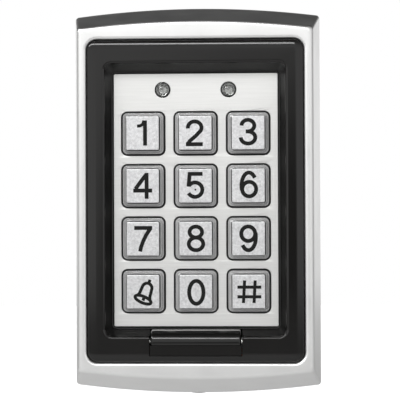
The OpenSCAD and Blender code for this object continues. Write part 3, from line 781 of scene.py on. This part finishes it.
def build_caps(s, c, p):
    """The metal caps: flat, with a rounded front edge and sides darkened as painted shade."""
    least_corner, back_edge, edge_steps = 0.05 * MM, 0.1 * MM, 5
    for key in KEYS:
        low, high, centre, half = measure(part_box("key_" + key + "_cap"))
        insets = [(back_edge, high[1]), (0, high[1] - back_edge)]
        for inward, forward in rounding(s.cap_edge, edge_steps):
            insets.append((inward, low[1] + s.cap_edge - forward))
        rings = []
        for inset, y in insets:
            corner = max(s.cap_corner - inset, least_corner)
            rings.append(key_ring(centre, half[0] - inset, half[2] - inset, corner, y))
        # The painted shade runs from the back to the first turn of the front edge.
        made = smooth(loft("cap_" + key, rings, second=range(3)))
        wear(made, satin_chromed_cap(c.cap), painted_shade_cap_side())
        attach(made, "key_" + key)
        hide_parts("key_" + key + "_cap")


# Black on the collar walls in the gaps, as painted shade there.
COLLAR_SHADE_SKIRT = ("moulded_black_polycarbonate", "#0E0E0E", "#171717", 0.42, 1.58, 0.4, 0.01)


def build_collars(s, c, p):
    """The clear collars: a flange behind the plate, two rounded steps, and a pocket that the cap sits in."""
    edge, edge_steps, chamfer = 0.4 * MM, 4, 0.12 * MM
    cap_gap, seat_gap = 0.18 * MM, 0.02 * MM
    pocket, pocket_corner = 1.5 * MM, 0.7 * MM
    flange_y = p.plate_back + 0.3 * MM
    back_y = flange_y + 1 * MM
    step_y = p.plate_y - s.collar_step
    corner = s.key_hole_corner - s.collar_gap
    for key in KEYS:
        low, _, centre, half = measure(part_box("key_" + key + "_collar"))
        _, cap_high, _, cap = measure(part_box("key_" + key + "_cap"))
        seat_y = cap_high[1] + seat_gap
        wide_w, wide_h = [half[k] - s.collar_lip - s.collar_gap for k in (0, 2)]
        step_w, step_h = (wide_w + cap[0]) / 2, (wide_h + cap[2]) / 2
        sizes = [(pocket, pocket, pocket_corner, back_y)]
        sizes += [(half[0], half[2], s.key_hole_corner, y) for y in (back_y, flange_y)]
        sizes.append((wide_w, wide_h, corner, flange_y))
        for inward, forward in rounding(edge, edge_steps):
            sizes.append((wide_w - inward, wide_h - inward, corner - inward, step_y + edge - forward))
        # Black as painted shade from the back nearly to the outer step's face, and again inside the gap
        # around the cap.
        black = list(range(len(sizes) - 2))
        sizes.append((step_w + chamfer, step_h + chamfer, corner, step_y))
        sizes.append((step_w, step_h, corner, step_y - chamfer))
        for inward, forward in rounding(edge, edge_steps):
            sizes.append((step_w - inward, step_h - inward, corner - inward, low[1] + edge - forward))
        black += [len(sizes), len(sizes) + 1]
        sizes += [(cap[0] + cap_gap, cap[2] + cap_gap, s.cap_corner + cap_gap, y) for y in (low[1], seat_y)]
        sizes.append((pocket, pocket, pocket_corner, seat_y))
        made = smooth(loft("collar_" + key, [key_ring(centre, *size) for size in sizes], second=black))
        wear(made, clear_polycarbonate(c.collar), plain_moulding(*COLLAR_SHADE_SKIRT))
        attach(made, "key_" + key)
        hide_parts("key_" + key + "_collar")


# ---- key legends ----

def turned(points, degrees, origin):
    """Turns points clockwise and moves them to origin."""
    t = radians(degrees)
    return [(origin[0] + x * cos(t) + z * sin(t), origin[1] - x * sin(t) + z * cos(t))
            for x, z in points]


def glyph(key, stroke):
    """Strokes of one legend, in millimetres from the key's centre: each is (points, closed, width).

    The legends are the figures 0 to 9, a hash sign and, for the key named bell, a tilted handbell.
    """
    def bar(*points, width=stroke):
        return list(points), False, width

    def loop(centre, radii):
        return arc_points(centre, radii, 0, 350, 35), True, stroke

    thin = 0.8 * stroke
    if key == "1":
        return [bar((-1.62, 2.08), (-0.8, 2.14), (-0.15, 2.42), (0.25, 2.95), (0.45, 3.74), width=thin),
                bar((0.78, 3.76), (0.78, -3.74))]
    if key == "2":
        bend = arc_points((-0.15, 1.5), (2.03, 1.87), 187, -28)
        return [bar(*bend, (0.2, -0.9), (-1.6, -2.4), (-2.2, -3.3)), bar((-2.8, -3.42), (2.25, -3.42))]
    if key == "3":
        return [bar(*arc_points((-0.08, 2.02), (1.9, 1.72), 180, -90)), bar((-0.75, 0.28), (0.1, 0.28)),
                bar(*arc_points((-0.05, -1.52), (2.15, 1.8), 90, -182))]
    if key == "4":
        return [bar((1.2, 3.88), (1.2, -3.85)), bar((0.95, 3.25), (-2.15, -0.9)),
                bar((-2.8, -1.4), (2.85, -1.4))]
    if key == "5":
        return [bar((-2.2, 3.5), (2.15, 3.5)), bar((-1.68, 3.9), (-2.05, -0.3)),
                bar(*arc_points((-0.12, -1.2), (2.18, 2.15), 148, -152))]
    if key == "6":
        return [loop((0.22, -1.1), (2.07, 2.15)), bar(*arc_points((0.15, -0.1), (2.2, 3.9), 37, 200))]
    if key == "9":
        return [([(0.1 - x, 0.3 - z) for x, z in points], closed, width)
                for points, closed, width in glyph("6", stroke)]
    if key == "7":
        return [bar((-2.55, 3.22), (2.82, 3.22)),
                bar((2.25, 3.0), (1.0, 1.1), (0.05, -0.9), (-0.5, -2.4), (-0.8, -3.8))]
    if key == "8":
        return [loop((0.06, 1.95), (1.86, 1.62)), loop((0.11, -1.57), (2.15, 1.87))]
    if key == "0":
        return [loop((0.15, -0.2), (2.13, 3.4))]
    if key == "hash":
        return [bar((-1.62, -3.4), (-1.25, 3.3), width=thin), bar((1.52, -3.4), (1.89, 3.3), width=thin),
                bar((-3.4, 1.31), (3.68, 1.31), width=thin), bar((-3.4, -1.56), (3.68, -1.56), width=thin)]
    origin, mouth_tilt, tilt = (0.02, -2.35), 23, 19.5
    mouth = turned(arc_points((0, 0), (2.55, 0.95), 0, 350, 35), mouth_tilt, origin)
    shell = [(-1.95, 0.55), (-1.62, 1.6), (-1.5, 3.2)] + arc_points((0, 3.6), (1.45, 1.5), 180, 0, 16)
    shell += [(1.5, 3.2), (1.62, 1.6), (1.95, 0.55)]
    knob, clapper = [(0, 5.1), (0, 6.3)], [(0.1, 0.5), (0.05, -0.3)]
    parts = [bar(*turned(part, tilt, origin), width=thin) for part in (shell, knob, clapper)]
    return [(mouth, True, thin)] + parts


def ribbon(bm, points, closed, half, front, thick):
    """A flat stroke with square ends, as a closed solid standing out of the cap."""
    count = len(points)
    left, right = [], []
    for k, (x, z) in enumerate(points):
        before = points[(k - 1) % count] if closed or k else points[0]
        after = points[(k + 1) % count] if closed or k < count - 1 else points[-1]
        dx, dz = after[0] - before[0], after[1] - before[1]
        size = hypot(dx, dz)
        nx, nz = -dz / size * half, dx / size * half
        left.append((x + nx, z + nz))
        right.append((x - nx, z - nz))
    rails = [[bm.verts.new((x, y, z)) for x, z in side]
             for side in (left, right) for y in (front, front + thick)]
    corners = [rails[0], rails[2], rails[3], rails[1]]
    for k in range(count if closed else count - 1):
        following = (k + 1) % count
        for first, second in zip(corners, corners[1:] + corners[:1]):
            bm.faces.new((first[k], first[following], second[following], second[k]))
    if not closed:
        bm.faces.new([rail[0] for rail in corners])
        bm.faces.new([rail[-1] for rail in corners])


def build_legends(s, c, p):
    """The black legends: thin solids that stand a hair out of the caps."""
    proud, sunk = 0.03 * MM, 0.12 * MM
    # Each stroke stands this much further out than the one before, so that crossing strokes share no face.
    layer = 0.002 * MM
    dot_r, dot_half, dot_proud, dot_thick = 0.14, 0.13 * MM, 0.15 * MM, 0.3 * MM
    for key in KEYS:
        low, _, (cx, _, cz), _ = measure(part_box("key_" + key + "_cap"))

        def placed(points):
            return [(cx + x * MM, cz + z * MM) for x, z in points]

        bm = bmesh.new()
        for k, (points, closed, width) in enumerate(glyph(key, s.stroke / MM)):
            ribbon(bm, placed(points), closed, width * MM / 2, low[1] - proud - k * layer, proud + sunk)
        if key == "5":
            # A small raised dot marks the middle key for the fingertips.
            dot = placed(arc_points((0, -1.2), (dot_r, dot_r), 0, 330, 11))
            ribbon(bm, dot, True, dot_half, low[1] - dot_proud, dot_thick)
        made = settle("legend_" + key, bm)
        wear(made, filled_black_enamel(c.legend))
        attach(made, "key_" + key)


# ---- status lights ----

LAMP_HOLDER = ("moulded_black_lamp_holder", "#121110", "#1C1B1A", 0.4, 1.5, 0.4, 0.01)


def build_lights(s, c, p):
    """The clear domed lights in their black holders, each with a bright cup behind its dome."""
    dome_steps, flange, tail = 12, 1 * MM, 3 * MM
    cup_rise, cup_foot, cup_wall, foot_wall, cup_steps = 0.5 * MM, 1.2 * MM, 0.15 * MM, 0.1 * MM, 32
    for side in ("left", "right"):
        low, _, (cx, _, cz), (rim, _, _) = measure(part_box("status_light_" + side))
        radius = rim - LIGHT_RIM
        place = Matrix.Translation((cx, low[1], cz)) @ Matrix.Rotation(-pi / 2, 4, "X")
        dome = [(outward, inward) for inward, outward in rounding(radius, dome_steps)]
        back = p.plate_back - low[1]
        body = [(radius, back), (rim, back), (rim, back + flange), (radius, back + flange),
                (radius, back + tail), (0, back + tail)]
        black = range(dome_steps, dome_steps + len(body))
        lens = smooth(lathe("lens_" + side, dome + body, place, second=black))
        wear(lens, clear_epoxy(), plain_moulding(*LAMP_HOLDER))
        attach(lens, BODY)
        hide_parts("status_light_" + side)
        floor_y, floor_r, cup_r = radius + cup_rise, 0.3 * radius, 0.5 * radius
        mouth_y, foot_y = floor_y - cup_rise, floor_y + cup_foot
        cup = [(0, floor_y), (floor_r, floor_y), (cup_r, mouth_y), (cup_r + cup_wall, mouth_y),
               (cup_r + foot_wall, foot_y), (0, foot_y)]
        holder = smooth(lathe("lamp_cup_" + side, cup, place, cup_steps))
        wear(holder, silvered_lead_frame())
        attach(holder, BODY)


# ---- hinge barrel ----

def build_barrel(s, c, p):
    """The black knuckle that turns on the hinge pin, bored through and rounded at both ends."""
    low, _, centre, (half_l, _, radius) = measure(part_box("hinge_barrel"))
    end_steps, steps, pin_gap = 7, 64, 0.05 * MM
    bore = measure(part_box("hinge_pin"))[3][2] + pin_gap
    place = Matrix.Translation((low[0], centre[1], centre[2])) @ Matrix.Rotation(pi / 2, 4, "Y")
    long = 2 * half_l
    edge = rounding(s.barrel_round, end_steps)
    end = [(radius - inward, s.barrel_round - forward) for inward, forward in edge]
    profile = [(bore, 0)] + end[::-1] + [(r, long - d) for r, d in end] + [(bore, long)]
    made = smooth(lathe("lid_hinge_knuckle", profile, place, steps))
    wear(made, moulded_black_nylon(c.barrel))
    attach(made, "lid_hinge_barrel")
    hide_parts("hinge_barrel")


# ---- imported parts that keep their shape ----

def dress_inside():
    """Better materials for the parts inside the housing."""
    dress(plain_moulding("moulded_black_nylon_frame", "#1A1A1A", "#262626", 0.5, 1.53, 0.4, 0.02),
          "plate_carrier")
    dress(plain_moulding("moulded_grey_silicone", "#85888A", "#94979A", 0.62, 1.41, 0.5, 0.02), "key_mat")
    dress(plain_metal("plated_gold", "#D6A848", "#E8C36A", 0.28, 0.6), "key_contacts")
    dress(plain_moulding("cast_yellow_epoxy", "#E3DFA6", "#F2EFC4", 0.3, 1.54, 0.4, 0.01), "backlight_lamps")
    # Glass cloth under the mask shows as a fine weave about 0.5 mm apart.
    board = plain_moulding("masked_glass_epoxy_board", "#123F22", "#1B5A31", 0.32, 1.55, (0.5, 4, 0.5), 0.015)
    dress(board, "main_board")
    dress(plain_metal("enamelled_copper_wire", "#9C5128", "#C56F3B", 0.3, (12, 0.2, 12)), "antenna_coil")
    dress(plain_moulding("moulded_chip_epoxy", "#151515", "#202020", 0.55, 1.55, 0.3, 0.02),
          "controller_chip", "reader_chip", "voltage_regulator")
    dress(plain_metal("drawn_nickel_can", "#B5B5B2", "#D0D0CC", 0.26, (0.5, 4, 0.5)), "crystal")
    dress(plain_metal("drawn_aluminium_can", "#B9BABC", "#D6D7D8", 0.3, (0.5, 4, 0.5)), "filter_capacitor")
    dress(plain_moulding("moulded_blue_polyester", "#12307A", "#1C4299", 0.35, 1.57, 0.5, 0.015),
          "lock_relay")
    dress(plain_moulding("moulded_black_noryl", "#101010", "#1B1B1B", 0.42, 1.52, 0.4, 0.02), "sounder")
    dress(plain_moulding("moulded_natural_nylon", "#DEDACC", "#ECE9DE", 0.4, 1.53, 0.5, 0.015),
          "cable_header")
    dress(plain_moulding("moulded_amber_epoxy", "#A8431F", "#C4572C", 0.28, 1.54, 0.4, 0.01), "tamper_sensor")
    dress(plain_metal("ground_steel_pin", "#B8B8B6", "#D2D2CF", 0.2, (0.3, 3, 3)), "hinge_pin")
    dress(plain_metal("zinc_plated_steel", "#A9ABAE", "#C9CBCC", 0.34, 0.6),
          "bezel_screws", "carrier_screws", "board_screws")


def dress_back():
    """Better materials for the parts that show from behind."""
    dress(plain_metal("passivated_zinc_casting", "#8F9193", "#B4B6B7", 0.45, 1.5), "back_cover")
    dress(plain_moulding("moulded_black_rubber", "#141414", "#202020", 0.75, 1.52, 0.6, 0.03),
          "wall_gasket", "cable_grommet")
    dress(plain_metal("stainless_steel_screw", "#B4B4B2", "#D0D0CD", 0.27, (0.4, 0.4, 2)), "security_screw")


# ---- stage ----

def build_world():
    """Studio surroundings: a bright tent in front with the dark camera place, and paper behind.

    In the ramps, height runs from straight down at 0 to straight up at 1, depth from the front to behind.
    """
    world = bpy.data.worlds.new("studio")
    bpy.context.scene.world = world
    world.use_nodes = True
    tree = world.node_tree
    tree.nodes.clear()
    place = node(tree, "ShaderNodeTexCoord").outputs["Generated"]
    axes = node(tree, "ShaderNodeSeparateXYZ", {0: place}).outputs

    def unit(axis):
        settings = {"Value": axis, "From Min": -1.0, "From Max": 1.0}
        return node(tree, "ShaderNodeMapRange", settings).outputs["Result"]

    def times(first, second):
        return node(tree, "ShaderNodeVectorMath", {0: first, 1: second}, operation="MULTIPLY").outputs[0]

    depth, height = unit(axes["Y"]), unit(axes["Z"])
    camera_place = Vector((0.05, -1.0, -0.07)).normalized()
    dotted = node(tree, "ShaderNodeVectorMath", {0: place, 1: camera_place}, operation="DOT_PRODUCT")
    facing = dotted.outputs["Value"]
    dark_place = ramp(tree, facing, [(0.0, 1.0), (0.975, 1.0), (0.992, 0.15), (1.0, 0.08)])
    tent = ramp(tree, height, [(0.0, 0.6), (0.25, 0.95), (0.42, 1.15), (0.5, 1.15), (0.56, 1.1), (0.7, 0.88),
                               (0.85, 0.3), (1.0, 0.05)])
    edge = ramp(tree, depth, [(0.0, 1.0), (0.3, 1.0), (0.45, 0.4), (0.52, 0.2), (1.0, 0.2)])
    front = times(times(tent, dark_place), edge)
    paper = ramp(tree, height, [(0.0, 0.45), (0.19, 0.5), (0.42, 0.8), (0.5, 1.1), (0.58, 1.1), (0.64, 0.3),
                                (0.68, 0.04), (0.88, 0.03), (1.0, 0.03)])
    sides = ramp(tree, depth, [(0.0, 0.3), (0.6, 0.35), (0.8, 0.6), (0.95, 1.0), (1.0, 1.0)])
    behind = times(paper, sides)
    shaped = node(tree, "ShaderNodeMix", data_type="RGBA")
    tree.links.new(ramp(tree, depth, [(0.0, 0.0), (0.48, 0.0), (0.62, 1.0), (1.0, 1.0)]), shaped.inputs[0])
    tree.links.new(front, shaped.inputs[6])
    tree.links.new(behind, shaped.inputs[7])
    lit = node(tree, "ShaderNodeBackground", {"Color": shaped.outputs[2], "Strength": 1.0})
    white = node(tree, "ShaderNodeBackground", {"Color": (1.0, 1.0, 1.0, 1.0), "Strength": 1.0})
    seen = node(tree, "ShaderNodeLightPath").outputs["Is Camera Ray"]
    both = node(tree, "ShaderNodeMixShader", {0: seen, 1: lit.outputs[0], 2: white.outputs[0]})
    node(tree, "ShaderNodeOutputWorld", {"Surface": both.outputs[0]})


def build_softbox(name, azimuth, elevation, distance, size, power):
    """A softbox aimed at the middle of the object; its azimuth counts to the right of the front."""
    lamp = bpy.data.lights.new(name, "AREA")
    lamp.shape = "RECTANGLE"
    lamp.size, lamp.size_y = size
    lamp.energy = power
    made = add(name, lamp)
    a, e = radians(azimuth), radians(elevation)
    towards = Vector((sin(a) * cos(e), -cos(a) * cos(e), sin(e)))
    made.location = towards * distance
    made.rotation_euler = towards.to_track_quat("Z", "Y").to_euler()


def build_floor(c):
    """A wide sheet of pale paper, well below the wall-mounted reader."""
    drop, radius, shares = -0.3, 4.0, (0.05, 0.3, 1.0)
    turns = [2 * pi * k / TURN_STEPS for k in range(TURN_STEPS)]
    rings = [[(radius * share * sin(t), radius * share * cos(t), drop) for t in turns]
             for share in shares]
    floor = loft("floor", rings, caps=(0,))
    wear(floor, pale_paper(c.floor))


def build_camera():
    """The camera stands a little right of the middle and looks slightly left and up."""
    camera = bpy.data.cameras.new("camera")
    camera.sensor_width = 36.0
    camera.lens = 117.6
    camera.clip_start = 0.01
    made = add("camera", camera)
    stand = (0.0167, -0.4127, -0.0053)
    yaw, pitch, roll = 0.0395, 0.0132, -0.0039
    ahead = Vector((-sin(yaw) * cos(pitch), cos(yaw) * cos(pitch), sin(pitch)))
    level = Vector((cos(yaw), sin(yaw), 0.0))
    up = level.cross(ahead)
    right = level * cos(roll) + up * sin(roll)
    top = up * cos(roll) - level * sin(roll)
    turn = Matrix((right, top, -ahead)).transposed().to_4x4()
    made.matrix_world = Matrix.Translation(stand) @ turn
    bpy.context.scene.camera = made


# ---- operators ----

def given(context):
    """Sizes, colours and packed places, which every builder takes in this order."""
    sizes = context.scene.reader_sizes
    return sizes, context.scene.reader_colours, Places(sizes)


class READER_OT_stage(bpy.types.Operator):
    """Sets the camera, the pale floor and the soft studio light"""
    bl_idname = "reader.stage"
    bl_label = "Stage"
    bl_options = {"REGISTER", "UNDO"}

    def execute(self, context):
        build_camera()
        build_world()
        build_floor(context.scene.reader_colours)
        build_softbox("key_softbox", azimuth=-31, elevation=38, distance=1.1, size=(1.5, 0.12), power=8.2)
        context.scene.view_settings.view_transform = "Standard"
        return {"FINISHED"}


class READER_OT_housing(bpy.types.Operator):
    """Builds the satin metal housing"""
    bl_idname = "reader.housing"
    bl_label = "Housing"
    bl_options = {"REGISTER", "UNDO"}

    def execute(self, context):
        build_housing(*given(context))
        return {"FINISHED"}


class READER_OT_bezel(bpy.types.Operator):
    """Builds the black bezel with its recess"""
    bl_idname = "reader.bezel"
    bl_label = "Bezel"
    bl_options = {"REGISTER", "UNDO"}

    def execute(self, context):
        build_bezel(*given(context))
        return {"FINISHED"}


class READER_OT_plate(bpy.types.Operator):
    """Builds the brushed keypad plate"""
    bl_idname = "reader.plate"
    bl_label = "Keypad Plate"
    bl_options = {"REGISTER", "UNDO"}

    def execute(self, context):
        build_plate(*given(context))
        return {"FINISHED"}


class READER_OT_caps(bpy.types.Operator):
    """Builds the twelve metal key caps"""
    bl_idname = "reader.caps"
    bl_label = "Key Caps"
    bl_options = {"REGISTER", "UNDO"}

    def execute(self, context):
        build_caps(*given(context))
        return {"FINISHED"}


class READER_OT_legends(bpy.types.Operator):
    """Builds the black figures on the key caps"""
    bl_idname = "reader.legends"
    bl_label = "Key Legends"
    bl_options = {"REGISTER", "UNDO"}

    def execute(self, context):
        build_legends(*given(context))
        return {"FINISHED"}


class READER_OT_collars(bpy.types.Operator):
    """Builds the clear stepped collars around the key caps"""
    bl_idname = "reader.collars"
    bl_label = "Key Collars"
    bl_options = {"REGISTER", "UNDO"}

    def execute(self, context):
        build_collars(*given(context))
        return {"FINISHED"}


class READER_OT_lights(bpy.types.Operator):
    """Builds the two status lights"""
    bl_idname = "reader.lights"
    bl_label = "Status Lights"
    bl_options = {"REGISTER", "UNDO"}

    def execute(self, context):
        build_lights(*given(context))
        return {"FINISHED"}


class READER_OT_barrel(bpy.types.Operator):
    """Builds the lid's hinge barrel"""
    bl_idname = "reader.barrel"
    bl_label = "Hinge Barrel"
    bl_options = {"REGISTER", "UNDO"}

    def execute(self, context):
        build_barrel(*given(context))
        return {"FINISHED"}


class READER_OT_inside(bpy.types.Operator):
    """Finishes the parts inside the housing"""
    bl_idname = "reader.inside"
    bl_label = "Inside Parts"
    bl_options = {"REGISTER", "UNDO"}

    def execute(self, context):
        dress_inside()
        return {"FINISHED"}


class READER_OT_back(bpy.types.Operator):
    """Finishes the back cover, gasket, grommet and security screw"""
    bl_idname = "reader.back"
    bl_label = "Back Parts"
    bl_options = {"REGISTER", "UNDO"}

    def execute(self, context):
        dress_back()
        return {"FINISHED"}


OPERATORS = [READER_OT_stage, READER_OT_housing, READER_OT_bezel, READER_OT_plate, READER_OT_caps,
             READER_OT_legends, READER_OT_collars, READER_OT_lights, READER_OT_barrel, READER_OT_inside,
             READER_OT_back]


class READER_PT_panel(bpy.types.Panel):
    """Lists the steps in the sidebar"""
    bl_idname = "READER_PT_panel"
    bl_label = "Keypad Reader"
    bl_space_type = "VIEW_3D"
    bl_region_type = "UI"
    bl_category = "Reader"

    def draw(self, context):
        column = self.layout.column()
        for step in OPERATORS:
            column.operator(step.bl_idname)
        for group in (context.scene.reader_sizes, context.scene.reader_colours):
            box = column.box()
            for name in group.__annotations__:
                box.prop(group, name)


CLASSES = [ReaderSizes, ReaderColours] + OPERATORS + [READER_PT_panel]


def register():
    for item in CLASSES:
        bpy.utils.register_class(item)
    bpy.types.Scene.reader_sizes = PointerProperty(type=ReaderSizes)
    bpy.types.Scene.reader_colours = PointerProperty(type=ReaderColours)


def unregister():
    del bpy.types.Scene.reader_colours
    del bpy.types.Scene.reader_sizes
    for item in reversed(CLASSES):
        bpy.utils.unregister_class(item)


def main():
    register()
    for step in OPERATORS:
        group, name = step.bl_idname.split(".")
        getattr(getattr(bpy.ops, group), name)()


if __name__ == "__main__":
    main()
